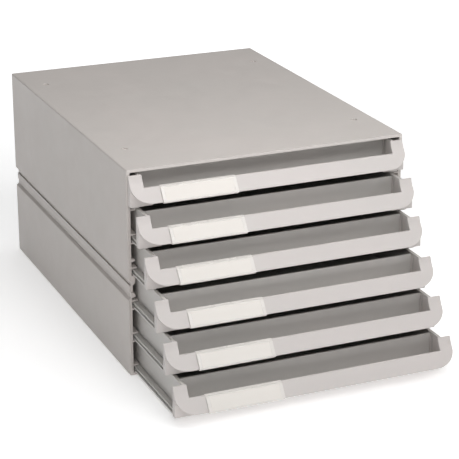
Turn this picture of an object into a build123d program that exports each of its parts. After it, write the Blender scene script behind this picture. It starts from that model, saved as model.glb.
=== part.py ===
from build123d import *
import math
import os

# Desktop file sorter: two stacked drawer modules with six open drawers.
# Frame: origin at the centre of the base footprint, +X to the right seen
# from the front, the drawer fronts face -Y, +Z up, the base stands on Z = 0.
# All dimensions in millimetres.

# ---------------------------------------------------------------- driving dims
CASE_W = 285.0            # outside width
CASE_D = 363.0            # outside depth
CASE_H = 205.0            # outside height of the two stacked modules
WALL = 3.8                # side wall
TOP_T = 2.9               # top panel
BASE_T = 2.0              # base panel
BACK_T = 2.8              # back panels
EDGE_R = 1.6              # rounding of the long outer edges

JOINT_UP_Z = 96.8         # lower end of the upper module's flush side face
SEAM_UP_Z = 91.8          # upper module rests on the coupling frame here
SEAM_LO_Z = 84.7          # coupling frame rests on the lower module here
JOINT_LO_Z = 78.3         # upper end of the lower module's flush side face
GROOVE_UP = 2.8           # depth of the groove above the coupling frame
GROOVE_LO = 2.6           # depth of the groove below the coupling frame
FRAME_INSET = 1.4         # coupling frame is set back from the side faces
CURL = 7.2                # inward curl of the module rims, from the outer face

N_DRAWERS = 6
TOP_EAR_Z = 199.75        # top of the first drawer's ears
PITCH = 32.83             # drawer pitch
OPEN_MM = [0.0, 20.3, 39.2, 63.4, 84.1, 105.8]   # how far each stands open

TRAY_OUT = 10.3           # tray side, from the case's outer face
TRAY_BEAD = 3.2           # width of the bead along the tray's top edge
TRAY_WALL = 2.2
TRAY_FLOOR = 2.0
TRAY_H = 32.4             # ear top down to the tray's underside
RAIL_OUT = 5.0            # rail, from the case's outer face
RAIL_TOP = 26.4           # rail's upper side below the ear top
GUIDE_TOP = 24.2          # anti-tip guide above the rail
GUIDE_BOT = 25.9
GUIDE_IN = 9.4
SUPPORT_TOP = 32.7        # support ledge under the rail
SUPPORT_BOT = 34.2
SUPPORT_IN = 8.6

FRONT_GAP = 0.3           # closed front to case front
FLANGE_T = 1.6
FLANGE_SIDE = 1.4         # flange side, from the case's outer face
FLANGE_H = 29.3
FLANGE_FWD = 4.1          # the flange's lower part stands this far forward of its face
FLANGE_BLOCK = 24.0       # width of those forward ends, from the case's outer face
EAR_IN = 14.6             # inner edge of the ears, from the case's outer face
BAR_TOP = 11.0             # top of the front bar below the ear top
LIP_D = 23.4              # lip below the ear top
LIP_T = 0.75              # height of the lip's own edge
SCOOP = (0.3, 0.2, 0.0325)     # forward reach a + b d + c d^2 of the curved upper part
SCOOP_FLAT_D = 8.0        # below this level the scoop is a flat incline
SCOOP_SLOPE = 0.72        # and goes forward this much per mm of drop
RIM_RX = 21.4             # the scoop's lower corners are quarter ellipses
RIM_RZ = 14.5
EAR_R = 0.8               # rounding of the ears' inner upper corners
CORNER_R = 16.0           # rounding of the flange's lower right corner, drawers 4 to 6
SHEET_T = 2.0             # scoop wall
PANEL_BACK = 17.0         # tray front wall behind the flange face
PANEL_T = 2.0
PANEL_TOP = 1.8           # tray front wall's top below the ear top
CHEEK_T = 1.0             # cheeks of the grip trough, against the tray's side walls
CHEEK_BACK = 11.0         # and how far they reach back
POST_D = 2.4              # slim corner posts at the tray's front wall
FLOOR_BACK = 9.0          # the tray's floor starts this far behind the flange face
TRAY_REAR_GAP = 5.2       # closed tray to the back panel

LABEL_X0 = 29.8           # label holder, from the case's outer face
LABEL_X1 = 104.6
LABEL_D0 = 11.9
HOLDER_T = 1.0
CARD_T = 0.4
CARD_IN = 3.2             # card inside the holder's side rims
HOOK_T = 0.4              # the holder's hook over the bar's top edge

DIMPLE_D = 6.0            # locating recesses in the top panel
DIMPLE_DEEP = 1.3
DIMPLE_X = 121.0
DIMPLE_YF = -120.2        # front pair
DIMPLE_YB = 124.5         # back pair

# ------------------------------------------------------------------ derived
HW = CASE_W / 2
YF = -CASE_D / 2          # case front plane
YB = CASE_D / 2           # case back plane
EAR_Z = [TOP_EAR_Z - PITCH * i for i in range(N_DRAWERS)]

os.makedirs("parts", exist_ok=True)


def slab(x0, x1, y0, y1, z0, z1):
    return Pos((x0 + x1) / 2, (y0 + y1) / 2, (z0 + z1) / 2) * Box(x1 - x0, y1 - y0, z1 - z0)


def prism_y(pts, y0, y1):
    """Polygon in X,Z, extruded from y0 to y1."""
    face = make_face(Polyline(*[(x, y0, z) for x, z in pts], close=True))
    return extrude(face, amount=y1 - y0, dir=(0, 1, 0))


def prism_x(pts, x0, x1):
    """Polygon in Y,Z, extruded from x0 to x1."""
    face = make_face(Polyline(*[(x0, y, z) for y, z in pts], close=True))
    return extrude(face, amount=x1 - x0, dir=(1, 0, 0))


def both_sides(x0, x1, y0, y1, z0, z1):
    """The same slab at the left and at the right; x from the outer face."""
    return [slab(-HW + x0, -HW + x1, y0, y1, z0, z1),
            slab(HW - x1, HW - x0, y0, y1, z0, z1)]


def reach(d):
    if d > SCOOP_FLAT_D:
        return reach(SCOOP_FLAT_D) + SCOOP_SLOPE * (d - SCOOP_FLAT_D)
    return SCOOP[0] + SCOOP[1] * d + SCOOP[2] * d * d


def save(shape, name):
    solids = shape.solids()
    out = solids[0] if len(solids) == 1 else Compound(children=list(solids))
    export_step(out, f"parts/{name}.step")


# ------------------------------------------------------------ case, upper module
# U-shaped shell: top panel and two side walls, open below; profile in X,Z.
def upper_profile():
    r = EDGE_R
    left = [(-HW + GROOVE_UP, SEAM_UP_Z), (-HW + GROOVE_UP, JOINT_UP_Z - 1.2),
            (-HW + 1.2, JOINT_UP_Z), (-HW, JOINT_UP_Z + 1.2), (-HW, CASE_H - r),
            (-HW + r * 0.29, CASE_H - r * 0.29), (-HW + r, CASE_H)]
    right = [(-x, z) for x, z in reversed(left)]
    zk = EAR_Z[:3]
    inner = [(HW - WALL, CASE_H - TOP_T)]
    for i, z in enumerate(zk):
        inner += [(HW - WALL, z - GUIDE_TOP), (HW - GUIDE_IN, z - GUIDE_TOP),
                  (HW - GUIDE_IN, z - GUIDE_BOT), (HW - WALL, z - GUIDE_BOT)]
        if i < 2:
            inner += [(HW - WALL, z - SUPPORT_TOP), (HW - SUPPORT_IN, z - SUPPORT_TOP),
                      (HW - SUPPORT_IN, z - SUPPORT_BOT), (HW - WALL, z - SUPPORT_BOT)]
        if i == 1:
            inner += [(HW - WALL, 118.0), (HW - CURL, 117.6), (HW - CURL, 115.6), (HW - WALL, 115.2)]
    # curled rim that carries the third drawer
    inner += [(HW - WALL, zk[2] - SUPPORT_TOP), (HW - CURL, zk[2] - SUPPORT_TOP),
              (HW - CURL, 94.6), (HW - CURL + 2.2, SEAM_UP_Z)]
    inner_left = [(-x, z) for x, z in reversed(inner)]
    # after the outer right side the outline comes back up the inside
    return left + right + list(reversed(inner)) + list(reversed(inner_left))


upper_shell = prism_y(upper_profile(), YF, YB)
# the back panel sits in a rebate between the side walls
upper_shell -= slab(-HW + WALL, HW - WALL, YB - BACK_T, YB + 1, SEAM_UP_Z - 1, CASE_H - TOP_T)
# rounded vertical front edges and top front edge
for sx in (-1, 1):
    c = [(sx * (HW + 1), YF - 1), (sx * (HW + 1), YF + EDGE_R), (sx * HW, YF + EDGE_R),
         (sx * (HW - 0.29 * EDGE_R), YF + 0.29 * EDGE_R), (sx * (HW - EDGE_R), YF), (sx * (HW - EDGE_R), YF - 1)]
    upper_shell -= extrude(make_face(Polyline(*[(x, y, 0) for x, y in c], close=True)), amount=CASE_H + 5, dir=(0, 0, 1))
# four shallow locating recesses in the top
for dx in (-DIMPLE_X, DIMPLE_X):
    for dy in (DIMPLE_YF, DIMPLE_YB):
        upper_shell -= Pos(dx, dy, CASE_H - DIMPLE_DEEP / 2 + 0.5) * Cylinder(DIMPLE_D / 2, DIMPLE_DEEP + 1.0)
save(upper_shell, "case_upper_shell")

# ------------------------------------------------------- coupling frame
# U-shaped strip frame between the modules, set back from the side faces.
frame = slab(-HW + FRAME_INSET, -HW + 5.0, YF + 0.8, YB - FRAME_INSET, SEAM_LO_Z, SEAM_UP_Z)
frame += slab(HW - 5.0, HW - FRAME_INSET, YF + 0.8, YB - FRAME_INSET, SEAM_LO_Z, SEAM_UP_Z)
frame += slab(-HW + FRAME_INSET, HW - FRAME_INSET, YB - 5.0, YB - FRAME_INSET, SEAM_LO_Z, SEAM_UP_Z)
save(frame, "case_coupling_frame")


# ------------------------------------------------------------ case, lower module
def lower_profile():
    r = EDGE_R
    left_out = [(-HW + r, 0), (-HW + r * 0.29, r * 0.29), (-HW, r), (-HW, JOINT_LO_Z - 1.2), (-HW + 1.2, JOINT_LO_Z),
                (-HW + GROOVE_LO, JOINT_LO_Z + 1.2), (-HW + GROOVE_LO, SEAM_LO_Z)]
    zk = EAR_Z[3:]
    inner = [(-HW + 5.0, SEAM_LO_Z), (-HW + CURL, 82.6), (-HW + CURL, 80.0), (-HW + WALL, 79.2)]
    for i, z in enumerate(zk):
        inner += [(-HW + WALL, z - GUIDE_TOP), (-HW + GUIDE_IN, z - GUIDE_TOP),
                  (-HW + GUIDE_IN, z - GUIDE_BOT), (-HW + WALL, z - GUIDE_BOT)]
        if i < 2:
            inner += [(-HW + WALL, z - SUPPORT_TOP), (-HW + SUPPORT_IN, z - SUPPORT_TOP),
                      (-HW + SUPPORT_IN, z - SUPPORT_BOT), (-HW + WALL, z - SUPPORT_BOT)]
    inner += [(-HW + WALL, zk[2] - SUPPORT_TOP), (-HW + SUPPORT_IN, zk[2] - SUPPORT_TOP),
              (-HW + SUPPORT_IN, BASE_T)]
    left = left_out + inner
    right = [(-x, z) for x, z in reversed(left)]
    return left + right


lower_shell = prism_y(lower_profile(), YF, YB)
lower_shell -= slab(-HW + WALL, HW - WALL, YB - BACK_T, YB + 1, BASE_T, SEAM_LO_Z + 1)
for sx in (-1, 1):
    c = [(sx * (HW + 1), YF - 1), (sx * (HW + 1), YF + EDGE_R), (sx * HW, YF + EDGE_R),
         (sx * (HW - 0.29 * EDGE_R), YF + 0.29 * EDGE_R), (sx * (HW - EDGE_R), YF), (sx * (HW - EDGE_R), YF - 1)]
    lower_shell -= extrude(make_face(Polyline(*[(x, y, -5) for x, y in c], close=True)), amount=SEAM_LO_Z + 10, dir=(0, 0, 1))
save(lower_shell, "case_lower_shell")

# ------------------------------------------------------------------ back panels
save(slab(-HW + WALL, HW - WALL, YB - BACK_T, YB, SEAM_UP_Z + 0.6, CASE_H - TOP_T), "case_upper_back_panel")
save(slab(-HW + WALL, HW - WALL, YB - BACK_T, YB, BASE_T, SEAM_LO_Z - 0.6), "case_lower_back_panel")


# ---------------------------------------------------------------------- drawers
def make_tray(yf, z):
    """Open box with a full-height front wall; z is the ear top, yf the flange face."""
    y0 = yf + FLANGE_T
    y1 = yf + (YB - BACK_T - TRAY_REAR_GAP) - (YF - FRONT_GAP - FLANGE_T)
    zb = z - TRAY_H
    xo = HW - TRAY_OUT
    t = slab(-xo, xo, y0, y1, zb, zb + TRAY_FLOOR)
    for sx in (-1, 1):
        def sslab(u0, u1, za, zc, ya=y0, yb=y1):
            a, b = sorted((sx * (HW - u0), sx * (HW - u1)))
            return slab(a, b, ya, yb, za, zc)
        t += sslab(TRAY_OUT, TRAY_OUT + TRAY_WALL, zb, z)
        t += sslab(TRAY_OUT, TRAY_OUT + TRAY_BEAD, z - 2.2, z)
        # hollow rail: C-section open towards the case wall
        t += sslab(RAIL_OUT, TRAY_OUT, zb, zb + 1.6)
        t += sslab(RAIL_OUT, TRAY_OUT, z - RAIL_TOP - 1.4, z - RAIL_TOP)
        t += sslab(RAIL_OUT + 1.4, RAIL_OUT + 3.0, zb, z - RAIL_TOP)
    xi = xo - TRAY_WALL
    t -= slab(-xi, xi, yf, yf + FLOOR_BACK, zb - 1, zb + TRAY_FLOOR + 1)
    t += slab(-xi, xi, yf + PANEL_BACK, yf + PANEL_BACK + PANEL_T, zb, z - PANEL_TOP)
    t += slab(-xi, xi, y1 - TRAY_WALL, y1, zb, z - 2.0)
    return t


# levels below the ear top at which every curved surface of the front is drawn,
# so that the label holder and the card lie exactly on it
LEVELS = [0.0, 2.0, 4.0, 6.0, SCOOP_FLAT_D, LABEL_D0, LIP_D - 0.7, LIP_D]


def scoop_pts(yf, z, inset=0.0, d_from=0.0, d_to=LIP_D):
    ds = [d_from] + [d for d in LEVELS if d_from + 1e-6 < d < d_to - 1e-6] + [d_to]
    return [(yf - reach(d) + inset, z - d) for d in ds]


def make_front(yf, z, round_right):
    """Flange plate with a forward scoop, two ears and a recessed grip trough."""
    xs = HW - FLANGE_SIDE
    zl = z - LIP_D - LIP_T
    # scoop body, then trimmed to an outline with rounded lower corners
    body = prism_x([(yf, z)] + scoop_pts(yf, z) + [(yf - reach(LIP_D), zl), (yf, zl)], -xs, xs)
    arc_l = [(-xs + RIM_RX * (1 - math.cos(a)), zl + RIM_RZ * (1 - math.sin(a))) for a in [math.pi / 2 * i / 12 for i in range(13)]]
    outline = [(-xs, z)] + arc_l + [(-x, zz) for x, zz in reversed(arc_l)] + [(xs, z)]
    body &= prism_y(outline, yf - 30, yf + 5)
    # flange: a thin plate, with ends that stand forward beside and below the scoop's rounded corners
    zb = z - FLANGE_H
    rr = CORNER_R
    d_fwd = SCOOP_FLAT_D + (FLANGE_FWD - reach(SCOOP_FLAT_D)) / SCOOP_SLOPE
    plate = prism_x([(yf + FLANGE_T, z)] + scoop_pts(yf, z, d_to=d_fwd) + [(yf - FLANGE_FWD, zb), (yf + FLANGE_T, zb)], -xs, xs)
    plate -= slab(-HW + FLANGE_BLOCK, HW - FLANGE_BLOCK, yf - FLANGE_FWD - 1, yf, zb - 1, zl + 0.5)
    if round_right:
        arc_r = [(xs - rr + rr * math.sin(a), zb + rr - rr * math.cos(a)) for a in [math.pi / 2 * i / 12 for i in range(13)]]
        plate &= prism_y([(-xs, z), (-xs, zb)] + arc_r + [(xs, z)], yf - 10, yf + FLANGE_T)
    body += plate
    # grip trough behind the scoop wall
    xe = HW - EAR_IN
    d1 = LIP_D - 1.3
    trough = prism_x(scoop_pts(yf, z, inset=SHEET_T, d_from=-1.0, d_to=d1) + [(yf + 5, z - d1), (yf + 5, z + 1.0)], -xe, xe)
    body -= trough
    # the front is cut low between the ears, whose inner upper corners are rounded
    cut = [(-xe, z - BAR_TOP)]
    cut += [(-xe - EAR_R * (1 - math.cos(a)), z - EAR_R * (1 - math.sin(a))) for a in [math.pi / 2 * i / 6 for i in range(7)]]
    cut += [(-xe - EAR_R, z + 2), (xe + EAR_R, z + 2)] + [(-x, zz) for x, zz in reversed(cut)]
    body -= prism_y(cut, yf - 30, yf + FLANGE_T)
    # trough floor and cheeks that reach back to the tray's front wall
    y1 = yf + PANEL_BACK
    u_in = TRAY_OUT + TRAY_WALL
    zf = z - TRAY_H + TRAY_FLOOR
    floor = slab(-HW + u_in, HW - u_in, yf + FLANGE_T, y1, zf, zf + 1.4)
    body += floor
    for sx in (-1, 1):
        a, b = sorted((sx * (HW - u_in), sx * (HW - u_in - CHEEK_T)))
        body += slab(a, b, yf + FLANGE_T, yf + CHEEK_BACK, zf, z - 2.2)
        body += slab(a, b, y1 - POST_D, y1, zf, z - 2.2)
    return body


def make_holder(yf, z):
    """Thin label holder that follows the scoop and hooks under its lip."""
    x0, x1 = -HW + LABEL_X0, -HW + LABEL_X1
    ya = scoop_pts(yf, z, d_from=LABEL_D0)
    yo = scoop_pts(yf, z, inset=-HOLDER_T, d_from=LABEL_D0)
    zl = z - LIP_D - LIP_T
    yl = yf - reach(LIP_D)
    back = ya + [(yl, zl), (yl + 3.0, zl)]
    front = [(yl + 3.0, zl - 0.9), (yl - HOLDER_T, zl - 0.9)] + list(reversed(yo))
    plate = prism_x(back + front, x0, x1)
    # upper strip over the bar's top edge, with a hook behind the bar
    zt = z - BAR_TOP
    yb = yf - reach(BAR_TOP)
    top = [(yf - reach(LABEL_D0), z - LABEL_D0), (yb, zt), (yb + SHEET_T + 0.1, zt), (yb + SHEET_T + 0.1, zt - 1.6),
           (yb + SHEET_T + 0.1 + HOOK_T, zt - 1.6), (yb + SHEET_T + 0.1 + HOOK_T, zt + HOOK_T), (yb - HOOK_T, zt + HOOK_T),
           (yf - reach(LABEL_D0) - HOOK_T, z - LABEL_D0)]
    plate += prism_x(top, x0, x1)
    # side rims and lower rim stand proud of the card
    rim = prism_x(yo + list(reversed(scoop_pts(yf, z, inset=-HOLDER_T - CARD_T, d_from=LABEL_D0))), x0, x1)
    rim -= prism_x(scoop_pts(yf, z, inset=0, d_from=LABEL_D0, d_to=LIP_D - 0.7)
                   + list(reversed(scoop_pts(yf, z, inset=-HOLDER_T - CARD_T - 1, d_from=LABEL_D0, d_to=LIP_D - 0.7))),
                   x0 + CARD_IN, x1 - CARD_IN)
    return plate + rim


def make_card(yf, z):
    x0, x1 = -HW + LABEL_X0 + CARD_IN, -HW + LABEL_X1 - CARD_IN
    a = scoop_pts(yf, z, inset=-HOLDER_T, d_from=LABEL_D0, d_to=LIP_D - 0.7)
    b = scoop_pts(yf, z, inset=-HOLDER_T - CARD_T, d_from=LABEL_D0, d_to=LIP_D - 0.7)
    return prism_x(a + list(reversed(b)), x0, x1)


for k in range(N_DRAWERS):
    yf = YF - FRONT_GAP - FLANGE_T - OPEN_MM[k]
    z = EAR_Z[k]
    n = k + 1
    save(make_tray(yf, z), f"drawer_{n}_tray")
    save(make_front(yf, z, round_right=(k >= 3)), f"drawer_{n}_front")
    save(make_holder(yf, z), f"drawer_{n}_label_holder")
    save(make_card(yf, z), f"drawer_{n}_label_card")
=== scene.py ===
import math
import bpy
import bmesh
from mathutils import Matrix, Vector


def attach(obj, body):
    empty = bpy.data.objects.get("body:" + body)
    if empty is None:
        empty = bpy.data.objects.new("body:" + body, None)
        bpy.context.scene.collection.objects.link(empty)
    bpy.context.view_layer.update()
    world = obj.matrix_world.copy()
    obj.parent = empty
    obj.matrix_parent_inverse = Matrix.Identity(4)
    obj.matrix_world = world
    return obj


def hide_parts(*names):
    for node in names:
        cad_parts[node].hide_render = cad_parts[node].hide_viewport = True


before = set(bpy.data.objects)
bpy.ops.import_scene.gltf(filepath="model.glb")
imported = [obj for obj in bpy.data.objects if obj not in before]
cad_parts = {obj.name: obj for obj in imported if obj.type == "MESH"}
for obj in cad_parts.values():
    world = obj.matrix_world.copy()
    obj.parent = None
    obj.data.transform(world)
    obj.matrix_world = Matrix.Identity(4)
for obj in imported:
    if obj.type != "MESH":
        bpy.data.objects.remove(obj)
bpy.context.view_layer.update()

MM = 0.001
scene = bpy.context.scene

# ------------------------------------------------------------ driving numbers
# The same numbers as the CAD, in millimetres, in the same frame.
CASE_W, CASE_D, CASE_H = 285.0, 363.0, 205.0
WALL, TOP_T, BASE_T, BACK_T = 3.8, 2.9, 2.0, 2.8
JOINT_UP_Z, SEAM_UP_Z, SEAM_LO_Z, JOINT_LO_Z = 96.8, 91.8, 84.7, 78.3
GROOVE_UP, GROOVE_LO, FRAME_INSET, CURL = 2.8, 2.6, 1.4, 7.2
TOP_EAR_Z, PITCH = 199.75, 32.83
OPEN_MM = [0.0, 20.3, 39.2, 63.4, 84.1, 105.8]
TRAY_OUT, TRAY_BEAD, TRAY_WALL, TRAY_FLOOR, TRAY_H = 10.3, 3.2, 2.2, 2.0, 32.4
RAIL_OUT, RAIL_TOP = 5.0, 26.4
GUIDE_TOP, GUIDE_BOT, GUIDE_IN = 24.2, 25.9, 9.4
SUPPORT_TOP, SUPPORT_BOT, SUPPORT_IN = 32.7, 34.2, 8.6
FRONT_GAP, FLANGE_T, FLANGE_SIDE, FLANGE_H, FLANGE_FWD, FLANGE_BLOCK = 0.3, 1.6, 1.4, 29.3, 4.1, 24.0
EAR_IN, BAR_TOP, LIP_D, LIP_T = 14.6, 11.0, 23.4, 0.75
SCOOP, SCOOP_FLAT_D, SCOOP_SLOPE = (0.3, 0.2, 0.0325), 8.0, 0.72
RIM_RX, RIM_RZ, EAR_R, CORNER_R = 21.4, 14.5, 0.8, 16.0
SHEET_T, PANEL_BACK, PANEL_T, PANEL_TOP = 2.0, 17.0, 2.0, 1.8
CHEEK_T, CHEEK_BACK, POST_D, FLOOR_BACK, TRAY_REAR_GAP = 1.0, 11.0, 2.4, 9.0, 5.2
LABEL_X0, LABEL_X1, LABEL_D0, HOLDER_T, CARD_T, CARD_IN, HOOK_T = 29.8, 104.6, 11.9, 1.0, 0.4, 3.2, 0.4
DIMPLE_D, DIMPLE_DEEP, DIMPLE_X, DIMPLE_YF, DIMPLE_YB = 6.0, 1.3, 121.0, -120.2, 124.5
HW, YF, YB = CASE_W / 2, -CASE_D / 2, CASE_D / 2


def reach(d):
    if d > SCOOP_FLAT_D:
        return reach(SCOOP_FLAT_D) + SCOOP_SLOPE * (d - SCOOP_FLAT_D)
    return SCOOP[0] + SCOOP[1] * d + SCOOP[2] * d * d


# ------------------------------------------------------------ mesh helpers
def new_object(name, bm):
    bmesh.ops.recalc_face_normals(bm, faces=bm.faces)
    mesh = bpy.data.meshes.new(name)
    bm.to_mesh(mesh)
    bm.free()
    obj = bpy.data.objects.new(name, mesh)
    scene.collection.objects.link(obj)
    return obj


def prism(name, pts, axis, a0, a1):
    """Closed outline extruded along an axis, in mm. pts are (x, z) for axis 'Y', (y, z) for 'X', (x, y) for 'Z'."""
    bm = bmesh.new()

    def place(p, a):
        if axis == "Y":
            return (p[0] * MM, a * MM, p[1] * MM)
        if axis == "X":
            return (a * MM, p[0] * MM, p[1] * MM)
        return (p[0] * MM, p[1] * MM, a * MM)

    lo = [bm.verts.new(place(p, a0)) for p in pts]
    hi = [bm.verts.new(place(p, a1)) for p in pts]
    bm.faces.new(lo)
    bm.faces.new(list(reversed(hi)))
    n = len(pts)
    for i in range(n):
        bm.faces.new((lo[i], hi[i], hi[(i + 1) % n], lo[(i + 1) % n]))
    return new_object(name, bm)


def slab(name, x0, x1, y0, y1, z0, z1):
    return prism(name, [(x0, y0), (x1, y0), (x1, y1), (x0, y1)], "Z", z0, z1)


def arc(cx, cy, r, a0, a1, n):
    return [(cx + r * math.cos(math.radians(a0 + (a1 - a0) * i / n)),
             cy + r * math.sin(math.radians(a0 + (a1 - a0) * i / n))) for i in range(n + 1)]


def baked(obj):
    """The object's mesh with its modifiers applied."""
    bpy.context.view_layer.update()
    deps = bpy.context.evaluated_depsgraph_get()
    mesh = bpy.data.meshes.new_from_object(obj.evaluated_get(deps))
    old = obj.data
    obj.modifiers.clear()
    obj.data = mesh
    if old.users == 0:
        bpy.data.meshes.remove(old)
    return obj


def combine(obj, others, operation):
    for other in others:
        m = obj.modifiers.new("b", "BOOLEAN")
        m.operation = operation
        m.solver = "EXACT"
        m.object = other
        baked(obj)
        mesh = other.data
        bpy.data.objects.remove(other)
        if mesh.users == 0:
            bpy.data.meshes.remove(mesh)
    bm = bmesh.new()
    bm.from_mesh(obj.data)
    bmesh.ops.remove_doubles(bm, verts=bm.verts, dist=2e-6)
    bmesh.ops.dissolve_limit(bm, angle_limit=math.radians(0.15), verts=bm.verts, edges=bm.edges)
    bmesh.ops.recalc_face_normals(bm, faces=bm.faces)
    bm.to_mesh(obj.data)
    bm.free()
    return obj


def soften(obj, width, segments=2, angle=32.0):
    """Rounds the moulded edges and gives clean shading."""
    if width > 0:
        b = obj.modifiers.new("edge", "BEVEL")
        b.width = width * MM
        b.segments = segments
        b.limit_method = "ANGLE"
        b.angle_limit = math.radians(angle)
        b.use_clamp_overlap = False
        b.miter_outer = "MITER_ARC"
        b.profile = 0.5
        baked(obj)
    for p in obj.data.polygons:
        p.use_smooth = True
    obj.data.set_sharp_from_angle(angle=math.radians(38))
    w = obj.modifiers.new("normals", "WEIGHTED_NORMAL")
    w.keep_sharp = True
    w.weight = 60
    baked(obj)
    return obj


# ------------------------------------------------------------ materials
def plastic(name, colour, rough, grain=1.0, warm=0.012, spec=0.42):
    """Moulded plastic: a faint cloudy drift in its colour, fine satin grain, slightly uneven gloss."""
    m = bpy.data.materials.new(name)
    m.use_nodes = True
    nt = m.node_tree
    nt.nodes.clear()
    out = nt.nodes.new("ShaderNodeOutputMaterial")
    sh = nt.nodes.new("ShaderNodeBsdfPrincipled")
    nt.links.new(sh.outputs["BSDF"], out.inputs["Surface"])
    sh.inputs["Specular IOR Level"].default_value = spec
    tc = nt.nodes.new("ShaderNodeTexCoord")
    # slow drift of tone, as in any large moulding
    big = nt.nodes.new("ShaderNodeTexNoise")
    big.inputs["Scale"].default_value = 9.0
    big.inputs["Detail"].default_value = 3.0
    big.inputs["Roughness"].default_value = 0.55
    nt.links.new(tc.outputs["Object"], big.inputs["Vector"])
    ramp = nt.nodes.new("ShaderNodeValToRGB")
    r, g, b = colour
    ramp.color_ramp.elements[0].position = 0.3
    ramp.color_ramp.elements[0].color = (r * (1 - warm * 1.6), g * (1 - warm * 0.9), b * (1 - warm * 0.9), 1)
    ramp.color_ramp.elements[1].position = 0.7
    ramp.color_ramp.elements[1].color = (r * (1 + warm), g * (1 + warm * 0.4), b * (1 + warm * 0.6), 1)
    nt.links.new(big.outputs["Fac"], ramp.inputs["Fac"])
    # fine speckle of the spark-eroded grain
    fine = nt.nodes.new("ShaderNodeTexNoise")
    fine.inputs["Scale"].default_value = 1500.0
    fine.inputs["Detail"].default_value = 2.0
    nt.links.new(tc.outputs["Object"], fine.inputs["Vector"])
    mix = nt.nodes.new("ShaderNodeMix")
    mix.data_type = "RGBA"
    mix.blend_type = "MULTIPLY"
    mix.inputs["Factor"].default_value = 0.05 * grain
    nt.links.new(ramp.outputs["Color"], mix.inputs[6])
    spk = nt.nodes.new("ShaderNodeMapRange")
    spk.inputs["From Min"].default_value = 0.3
    spk.inputs["From Max"].default_value = 0.7
    spk.inputs["To Min"].default_value = 0.75
    spk.inputs["To Max"].default_value = 1.0
    nt.links.new(fine.outputs["Fac"], spk.inputs["Value"])
    comb = nt.nodes.new("ShaderNodeCombineColor")
    for i in range(3):
        nt.links.new(spk.outputs["Result"], comb.inputs[i])
    nt.links.new(comb.outputs["Color"], mix.inputs[7])
    nt.links.new(mix.outputs[2], sh.inputs["Base Color"])
    # gloss
    mr = nt.nodes.new("ShaderNodeMapRange")
    mr.inputs["From Min"].default_value = 0.3
    mr.inputs["From Max"].default_value = 0.7
    mr.inputs["To Min"].default_value = rough - 0.05
    mr.inputs["To Max"].default_value = rough + 0.06
    mid = nt.nodes.new("ShaderNodeTexNoise")
    mid.inputs["Scale"].default_value = 60.0
    mid.inputs["Detail"].default_value = 4.0
    nt.links.new(tc.outputs["Object"], mid.inputs["Vector"])
    nt.links.new(mid.outputs["Fac"], mr.inputs["Value"])
    nt.links.new(mr.outputs["Result"], sh.inputs["Roughness"])
    # grain in the surface
    bump = nt.nodes.new("ShaderNodeBump")
    bump.inputs["Strength"].default_value = 0.12 * grain
    bump.inputs["Distance"].default_value = 0.00008
    nt.links.new(fine.outputs["Fac"], bump.inputs["Height"])
    nt.links.new(bump.outputs["Normal"], sh.inputs["Normal"])
    return m


case_mat = plastic("case_plastic", (0.606, 0.566, 0.537), 0.46)
tray_mat = plastic("tray_plastic", (0.60, 0.58, 0.555), 0.42)
front_mat = plastic("front_plastic", (0.64, 0.60, 0.58), 0.38, grain=0.7)
holder_mat = plastic("holder_plastic", (0.80, 0.765, 0.73), 0.28, grain=0.3, spec=0.5)
card_mat = plastic("label_paper", (0.83, 0.79, 0.745), 0.8, grain=1.6, spec=0.2)


def finish_piece(obj, node, body, mat):
    obj.data.materials.clear()
    obj.data.materials.append(mat)
    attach(obj, body)
    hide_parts(node)
    return obj


# ------------------------------------------------------------ case
R_EDGE = 1.6
ear_z = [TOP_EAR_Z - PITCH * i for i in range(6)]


def upper_outline():
    left = [(-HW + GROOVE_UP, SEAM_UP_Z), (-HW + GROOVE_UP, JOINT_UP_Z - 1.2),
            (-HW + 1.2, JOINT_UP_Z), (-HW, JOINT_UP_Z + 1.2)] + arc(-HW + R_EDGE, CASE_H - R_EDGE, R_EDGE, 180, 90, 6)
    right = [(-x, z) for x, z in reversed(left)]
    zk = ear_z[:3]
    inner = [(HW - WALL, CASE_H - TOP_T)]
    for i, z in enumerate(zk):
        inner += [(HW - WALL, z - GUIDE_TOP), (HW - GUIDE_IN, z - GUIDE_TOP),
                  (HW - GUIDE_IN, z - GUIDE_BOT), (HW - WALL, z - GUIDE_BOT)]
        if i < 2:
            inner += [(HW - WALL, z - SUPPORT_TOP), (HW - SUPPORT_IN, z - SUPPORT_TOP),
                      (HW - SUPPORT_IN, z - SUPPORT_BOT), (HW - WALL, z - SUPPORT_BOT)]
        if i == 1:
            inner += [(HW - WALL, 118.0), (HW - CURL, 117.6), (HW - CURL, 115.6), (HW - WALL, 115.2)]
    inner += [(HW - WALL, zk[2] - SUPPORT_TOP), (HW - CURL, zk[2] - SUPPORT_TOP),
              (HW - CURL, 94.6), (HW - CURL + 2.2, SEAM_UP_Z)]
    inner_left = [(-x, z) for x, z in reversed(inner)]
    return left + right + list(reversed(inner)) + list(reversed(inner_left))


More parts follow.
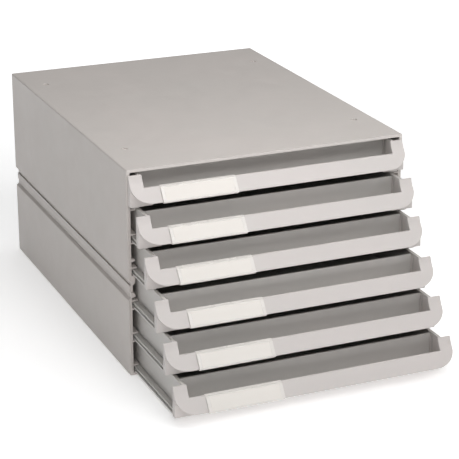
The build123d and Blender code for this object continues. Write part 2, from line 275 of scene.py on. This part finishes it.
def lower_outline():
    left_out = arc(-HW + R_EDGE, R_EDGE, R_EDGE, 270, 180, 6) + [(-HW, JOINT_LO_Z - 1.2), (-HW + 1.2, JOINT_LO_Z),
                                                                  (-HW + GROOVE_LO, JOINT_LO_Z + 1.2), (-HW + GROOVE_LO, SEAM_LO_Z)]
    zk = ear_z[3:]
    inner = [(-HW + 5.0, SEAM_LO_Z), (-HW + CURL, 82.6), (-HW + CURL, 80.0), (-HW + WALL, 79.2)]
    for i, z in enumerate(zk):
        inner += [(-HW + WALL, z - GUIDE_TOP), (-HW + GUIDE_IN, z - GUIDE_TOP),
                  (-HW + GUIDE_IN, z - GUIDE_BOT), (-HW + WALL, z - GUIDE_BOT)]
        if i < 2:
            inner += [(-HW + WALL, z - SUPPORT_TOP), (-HW + SUPPORT_IN, z - SUPPORT_TOP),
                      (-HW + SUPPORT_IN, z - SUPPORT_BOT), (-HW + WALL, z - SUPPORT_BOT)]
    inner += [(-HW + WALL, zk[2] - SUPPORT_TOP), (-HW + SUPPORT_IN, zk[2] - SUPPORT_TOP), (-HW + SUPPORT_IN, BASE_T)]
    left = left_out + inner
    return left + [(-x, z) for x, z in reversed(left)]


def corner_cutters(z0, z1):
    cut = []
    for sx in (-1, 1):
        pts = [(-(HW + 1), YF - 1), (-(HW + 1), YF + R_EDGE)] + arc(-HW + R_EDGE, YF + R_EDGE, R_EDGE, 180, 270, 6) + [(-HW + R_EDGE, YF - 1)]
        cut.append(prism("cut", [(-sx * x if sx > 0 else x, y) for x, y in pts], "Z", z0, z1))
    return cut


upper = prism("upper_shell", upper_outline(), "Y", YF, YB)
cut = corner_cutters(SEAM_UP_Z - 5, CASE_H + 5)
cut.append(slab("cut", -HW + WALL, HW - WALL, YB - BACK_T, YB + 1, SEAM_UP_Z - 1, CASE_H - TOP_T))
for dx in (-DIMPLE_X, DIMPLE_X):
    for dy in (DIMPLE_YF, DIMPLE_YB):
        ring = [(dx + x, dy + y) for x, y in arc(0, 0, DIMPLE_D / 2, 0, 360 - 15, 23)]
        cut.append(prism("cut", ring, "Z", CASE_H - DIMPLE_DEEP, CASE_H + 1))
combine(upper, cut, "DIFFERENCE")
soften(upper, 0.35, 2)
finish_piece(upper, "case_upper_shell", "case", case_mat)

lower = prism("lower_shell", lower_outline(), "Y", YF, YB)
cut = corner_cutters(-5, SEAM_LO_Z + 5)
cut.append(slab("cut", -HW + WALL, HW - WALL, YB - BACK_T, YB + 1, BASE_T, SEAM_LO_Z + 1))
combine(lower, cut, "DIFFERENCE")
soften(lower, 0.35, 2)
finish_piece(lower, "case_lower_shell", "case", case_mat)

ring_frame = prism("coupling_frame", [
    (-HW + FRAME_INSET, YF + 0.8), (-HW + 5.0, YF + 0.8), (-HW + 5.0, YB - 5.0), (HW - 5.0, YB - 5.0),
    (HW - 5.0, YF + 0.8), (HW - FRAME_INSET, YF + 0.8), (HW - FRAME_INSET, YB - FRAME_INSET), (-HW + FRAME_INSET, YB - FRAME_INSET)],
    "Z", SEAM_LO_Z, SEAM_UP_Z)
soften(ring_frame, 0.4, 2)
finish_piece(ring_frame, "case_coupling_frame", "case", case_mat)

for name, node, z0, z1 in (("upper_back", "case_upper_back_panel", SEAM_UP_Z + 0.6, CASE_H - TOP_T),
                           ("lower_back", "case_lower_back_panel", BASE_T, SEAM_LO_Z - 0.6)):
    p = slab(name, -HW + WALL, HW - WALL, YB - BACK_T, YB, z0, z1)
    soften(p, 0.3, 2)
    finish_piece(p, node, "case", case_mat)


# ------------------------------------------------------------ drawers
# Drawn once at flange face y = 0 and ear top z = 0, then placed.
TRAY_REAR = (YB - BACK_T - TRAY_REAR_GAP) - (YF - FRONT_GAP - FLANGE_T)


def tray_mesh():
    y0, y1, zb, xo = FLANGE_T, TRAY_REAR, -TRAY_H, HW - TRAY_OUT
    xi = xo - TRAY_WALL
    # cross-section: floor, two side walls with a bead along the top, C-section rails
    r = HW - RAIL_OUT
    half = [(xi, zb + TRAY_FLOOR), (xi, -2.2), (xo - TRAY_BEAD, -2.2), (xo - TRAY_BEAD, 0), (xo, 0),
            (xo, -RAIL_TOP), (r, -RAIL_TOP), (r, -RAIL_TOP - 1.4), (r - 1.4, -RAIL_TOP - 1.4), (r - 1.4, zb + 1.6),
            (r, zb + 1.6), (r, zb)]
    half = [(x, z) for x, z in half]
    outline = half + [(-x, z) for x, z in reversed(half)]
    body = prism("tray", outline, "Y", y0, y1)
    # channels between rail web and tray wall
    cut = []
    for sx in (-1, 1):
        a, b = sorted((sx * (r - 3.0), sx * xo))
        cut.append(slab("cut", a, b, y0 - 1, y1 + 1, zb + 1.6, -RAIL_TOP - 1.4))
    cut.append(slab("cut", -xi, xi, 0, FLOOR_BACK, zb - 1, zb + TRAY_FLOOR + 1))
    combine(body, cut, "DIFFERENCE")
    walls = [slab("w", -xi - 0.2, xi + 0.2, PANEL_BACK, PANEL_BACK + PANEL_T, zb + 0.5, -PANEL_TOP),
             slab("w", -xi - 0.2, xi + 0.2, y1 - TRAY_WALL, y1, zb + 0.5, -2.0)]
    combine(body, walls, "UNION")
    return soften(body, 0.32, 2)


def scoop_line(inset=0.0, d_from=0.0, d_to=LIP_D):
    """The scoop's section from one level to another: curved above, straight below."""
    ds = [d_from] + [d for d in [0.9 * i for i in range(9)] + [SCOOP_FLAT_D] if d_from + 0.05 < d < d_to - 0.05] + [d_to]
    return [(-reach(d) + inset, -d) for d in ds]


def front_mesh(round_right):
    xs = HW - FLANGE_SIDE
    zl = -LIP_D - LIP_T
    body = prism("front", [(0.4, 0), (0, 0)] + scoop_line() + [(-reach(LIP_D), zl), (0.4, zl)], "X", -xs, xs)
    left = [(-xs + RIM_RX * (1 - math.cos(t)), zl + RIM_RZ * (1 - math.sin(t))) for t in [math.pi / 2 * i / 20 for i in range(21)]]
    outline = [(-xs, 0.0)] + left + [(-x, z) for x, z in reversed(left)] + [(xs, 0.0)]
    combine(body, [prism("o", outline, "Y", -30, 5)], "INTERSECT")
    zb = -FLANGE_H
    d_fwd = SCOOP_FLAT_D + (FLANGE_FWD - reach(SCOOP_FLAT_D)) / SCOOP_SLOPE
    plate = prism("plate", [(FLANGE_T, 0)] + scoop_line(0.02, 0.0, d_fwd) + [(-FLANGE_FWD, zb), (FLANGE_T, zb)], "X", -xs, xs)
    combine(plate, [slab("mid", -HW + FLANGE_BLOCK, HW - FLANGE_BLOCK, -FLANGE_FWD - 1, 0, zb - 1, zl + 0.5)], "DIFFERENCE")
    if round_right:
        pts = [(-xs - 1, 1), (-xs - 1, zb)] + arc(xs - CORNER_R, zb + CORNER_R, CORNER_R, 270, 360, 18) + [(xs, 1)]
        combine(plate, [prism("p", pts, "Y", -10, 5)], "INTERSECT")
    combine(body, [plate], "UNION")
    xe = HW - EAR_IN
    d1 = LIP_D - 1.3
    trough = prism("t", [(-reach(0) + SHEET_T, 1.0)] + scoop_line(SHEET_T, 0.0, d1) + [(5, -d1), (5, 1.0)], "X", -xe, xe)
    cut = [(-xe, -BAR_TOP)]
    cut += [(-xe - EAR_R * (1 - math.cos(t)), -EAR_R * (1 - math.sin(t))) for t in [math.pi / 2 * i / 6 for i in range(7)]]
    cut += [(-xe - EAR_R, 2), (xe + EAR_R, 2)] + [(-x, z) for x, z in reversed(cut)]
    combine(body, [trough, prism("c", cut, "Y", -30, 5)], "DIFFERENCE")
    u = TRAY_OUT + TRAY_WALL
    zf = -TRAY_H + TRAY_FLOOR
    adds = [slab("f", -HW + u, HW - u, FLANGE_T - 0.2, PANEL_BACK, zf, zf + 1.4)]
    for sx in (-1, 1):
        p, q = sorted((sx * (HW - u), sx * (HW - u - CHEEK_T)))
        adds.append(slab("k", p, q, FLANGE_T - 0.2, CHEEK_BACK, zf, -2.2))
        adds.append(slab("k", p, q, PANEL_BACK - POST_D, PANEL_BACK, zf, -2.2))
    combine(body, adds, "UNION")
    return soften(body, 0.4, 3)


def holder_mesh():
    x0, x1 = -HW + LABEL_X0, -HW + LABEL_X1
    zl = -LIP_D - LIP_T
    yl = -reach(LIP_D)
    dt = LABEL_D0 + 0.1          # upper edge of the window
    ds = LABEL_D0 - 0.75         # lower edge of the strip over the bar

    def on(d, out):
        return (-reach(d) - out, -d)

    yb, zt = -reach(BAR_TOP), -BAR_TOP
    h = HOOK_T
    profile = [on(ds, 0), (yb, zt), (yb + SHEET_T + 0.1, zt), (yb + SHEET_T + 0.1, zt - 1.6), (yb + SHEET_T + 0.1 + h, zt - 1.6),
               (yb + SHEET_T + 0.1 + h, zt + h), (yb - h, zt + h), on(ds, h), on(ds, 0.15), on(dt, 0.15), on(dt, HOLDER_T),
               on(LIP_D, HOLDER_T), (yl - HOLDER_T + 0.1, zl + 0.25), (yl - 0.1, zl + 0.1), (yl - 0.1, zl - 0.9), (yl + 3.0, zl - 0.9), (yl + 3.0, zl), (yl, zl), on(LIP_D, 0)]
    plate = prism("holder", profile, "X", x0, x1)
    rims = []
    out = HOLDER_T + CARD_T
    for p, q in ((x0, x0 + CARD_IN), (x1 - CARD_IN, x1)):
        rims.append(prism("r", [on(dt, HOLDER_T - 0.2), on(LIP_D, HOLDER_T - 0.2), on(LIP_D, out), on(dt, out)], "X", p, q))
    rims.append(prism("r", [on(LIP_D - 0.7, HOLDER_T - 0.2), on(LIP_D, HOLDER_T - 0.2), on(LIP_D, out), on(LIP_D - 0.7, out)], "X", x0 + 0.3, x1 - 0.3))
    combine(plate, rims, "UNION")
    return soften(plate, 0.12, 2)


def card_mesh():
    x0, x1 = -HW + LABEL_X0 + CARD_IN, -HW + LABEL_X1 - CARD_IN
    out = HOLDER_T + CARD_T * 0.8

    def on(d, o):
        return (-reach(d) - o, -d)
    # the sheet bows forward very slightly between its upper and lower edge
    n = 6
    d0, d1 = LABEL_D0 + 0.15, LIP_D - 0.75
    back = [on(d0, HOLDER_T), on(d1, HOLDER_T)]
    front = [on(d1 + (d0 - d1) * i / n, out + 0.06 * math.sin(math.pi * i / n)) for i in range(n + 1)]
    return soften(prism("card", back + front, "X", x0 + 0.08, x1 - 0.08), 0.05, 1)


patterns = {"tray": tray_mesh(), "front_a": front_mesh(False), "front_b": front_mesh(True), "holder": holder_mesh(), "card": card_mesh()}
for k in range(6):
    n = k + 1
    off = Vector((0, (YF - FRONT_GAP - FLANGE_T - OPEN_MM[k]) * MM, ear_z[k] * MM))
    for key, node, name, mat, slot in (
            ("tray", f"drawer_{n}_tray", f"tray_{n}", tray_mat, "drawer_plastic"),
            ("front_b" if k >= 3 else "front_a", f"drawer_{n}_front", f"front_{n}", front_mat, "front_plastic"),
            ("holder", f"drawer_{n}_label_holder", f"label_holder_{n}", holder_mat, "label_holder_plastic"),
            ("card", f"drawer_{n}_label_card", f"label_card_{n}", card_mat, "label_card")):
        mesh = patterns[key].data.copy()
        mesh.transform(Matrix.Translation(off))
        mesh.name = name
        obj = bpy.data.objects.new(name, mesh)
        scene.collection.objects.link(obj)
        finish_piece(obj, node, f"drawer_{n}", mat)
for obj in patterns.values():
    mesh = obj.data
    bpy.data.objects.remove(obj)
    bpy.data.meshes.remove(mesh)

# ------------------------------------------------------------ floor
bm = bmesh.new()
bmesh.ops.create_grid(bm, x_segments=8, y_segments=8, size=7.0)
floor = new_object("floor", bm)
floor.location = (0, 1.5, 0)
fm = bpy.data.materials.new("floor_white")
fm.use_nodes = True
bs = fm.node_tree.nodes["Principled BSDF"]
bs.inputs["Base Color"].default_value = (0.93, 0.93, 0.93, 1)
bs.inputs["Roughness"].default_value = 0.9
bs.inputs["Specular IOR Level"].default_value = 0.1
bs.inputs["Emission Color"].default_value = (1, 1, 1, 1)
bs.inputs["Emission Strength"].default_value = 0.36
# the floor glows a little more with distance, like a lit sweep
tc = fm.node_tree.nodes.new("ShaderNodeTexCoord")
ln = fm.node_tree.nodes.new("ShaderNodeVectorMath")
ln.operation = "LENGTH"
mp = fm.node_tree.nodes.new("ShaderNodeMapRange")
mp.interpolation_type = "SMOOTHSTEP"
mp.inputs["From Min"].default_value = 0.33
mp.inputs["From Max"].default_value = 1.3
mp.inputs["To Min"].default_value = 0.36
mp.inputs["To Max"].default_value = 0.9
off = fm.node_tree.nodes.new("ShaderNodeVectorMath")
off.inputs[1].default_value = (0, 1.5, 0)
fm.node_tree.links.new(tc.outputs["Object"], off.inputs[0])
fm.node_tree.links.new(off.outputs["Vector"], ln.inputs[0])
fm.node_tree.links.new(ln.outputs["Value"], mp.inputs["Value"])
fm.node_tree.links.new(mp.outputs["Result"], bs.inputs["Emission Strength"])
floor.data.materials.append(fm)

# ------------------------------------------------------------ light
world = bpy.data.worlds.new("studio")
scene.world = world
world.use_nodes = True
bg = world.node_tree.nodes["Background"]
bg.inputs["Color"].default_value = (1, 1, 1, 1)
bg.inputs["Strength"].default_value = 1.0
# a plain white surround that is seen behind the floor and sheds no light itself
vis = world.cycles_visibility
vis.diffuse = vis.glossy = vis.transmission = vis.scatter = False


def area(name, at, to, size, power, colour=(1, 1, 1)):
    data = bpy.data.lights.new(name, "AREA")
    data.shape = "RECTANGLE"
    data.size, data.size_y = size
    data.energy = power
    data.color = colour
    obj = bpy.data.objects.new(name, data)
    obj.location = at
    obj.rotation_euler = (Vector(to) - Vector(at)).to_track_quat("-Z", "Y").to_euler()
    obj.visible_camera = False
    scene.collection.objects.link(obj)
    return obj


def around(az, el, dist, target=(0, -0.15, 0.1)):
    """Position seen from the target: az degrees to the right of the front, el above the floor."""
    a, e = math.radians(az), math.radians(el)
    return (target[0] + dist * math.cos(e) * math.sin(a), target[1] - dist * math.cos(e) * math.cos(a), target[2] + dist * math.sin(e))


AIM = (0, -0.1, 0.1)
area("key_soft", around(-10, 40, 1.5), AIM, (1.0, 1.0), 7.8)
area("key_right", around(32, 45, 2.1), AIM, (0.4, 0.4), 1.4)
area("low_right", around(60, 30, 2.1), AIM, (0.4, 0.4), 4.4)
area("near_top", (0, -0.35, 0.6), (0, -0.16, 0.2), (0.3, 0.3), 0.68)
area("back_top", around(180, 70, 2.4), AIM, (1.6, 1.6), 23.0)
area("side_right", around(90, 40, 2.4), AIM, (1.6, 1.6), 11.8)
area("back_left", around(-150, 40, 2.4), AIM, (1.6, 1.6), 0.5)
area("front_left", around(-45, 26, 2.1), AIM, (0.6, 0.6), 1.9)

# ------------------------------------------------------------ camera
R = ((0.918663549886872, -0.3950408377610035, 0.00013641970297748052),
     (-0.13802921610826344, -0.32130909975541294, -0.9368609277341565),
     (0.37014215864960476, 0.8606411557179047, -0.34970213535916567))
cam_data = bpy.data.cameras.new("camera")
cam_data.sensor_width = 36.0
cam_data.lens = 1700.434502137726 / 459.0 * 36.0
cam_data.clip_start = 0.05
cam_data.clip_end = 50
cam = bpy.data.objects.new("camera", cam_data)
cam.matrix_world = Matrix((
    (R[0][0], -R[1][0], -R[2][0], (-490.9234849 - 142.5) * MM),
    (R[0][1], -R[1][1], -R[2][1], (-1379.61326184 - 181.5) * MM),
    (R[0][2], -R[1][2], -R[2][2], 693.56398913 * MM),
    (0, 0, 0, 1)))
scene.collection.objects.link(cam)
scene.camera = cam
scene.view_settings.view_transform = "Standard"
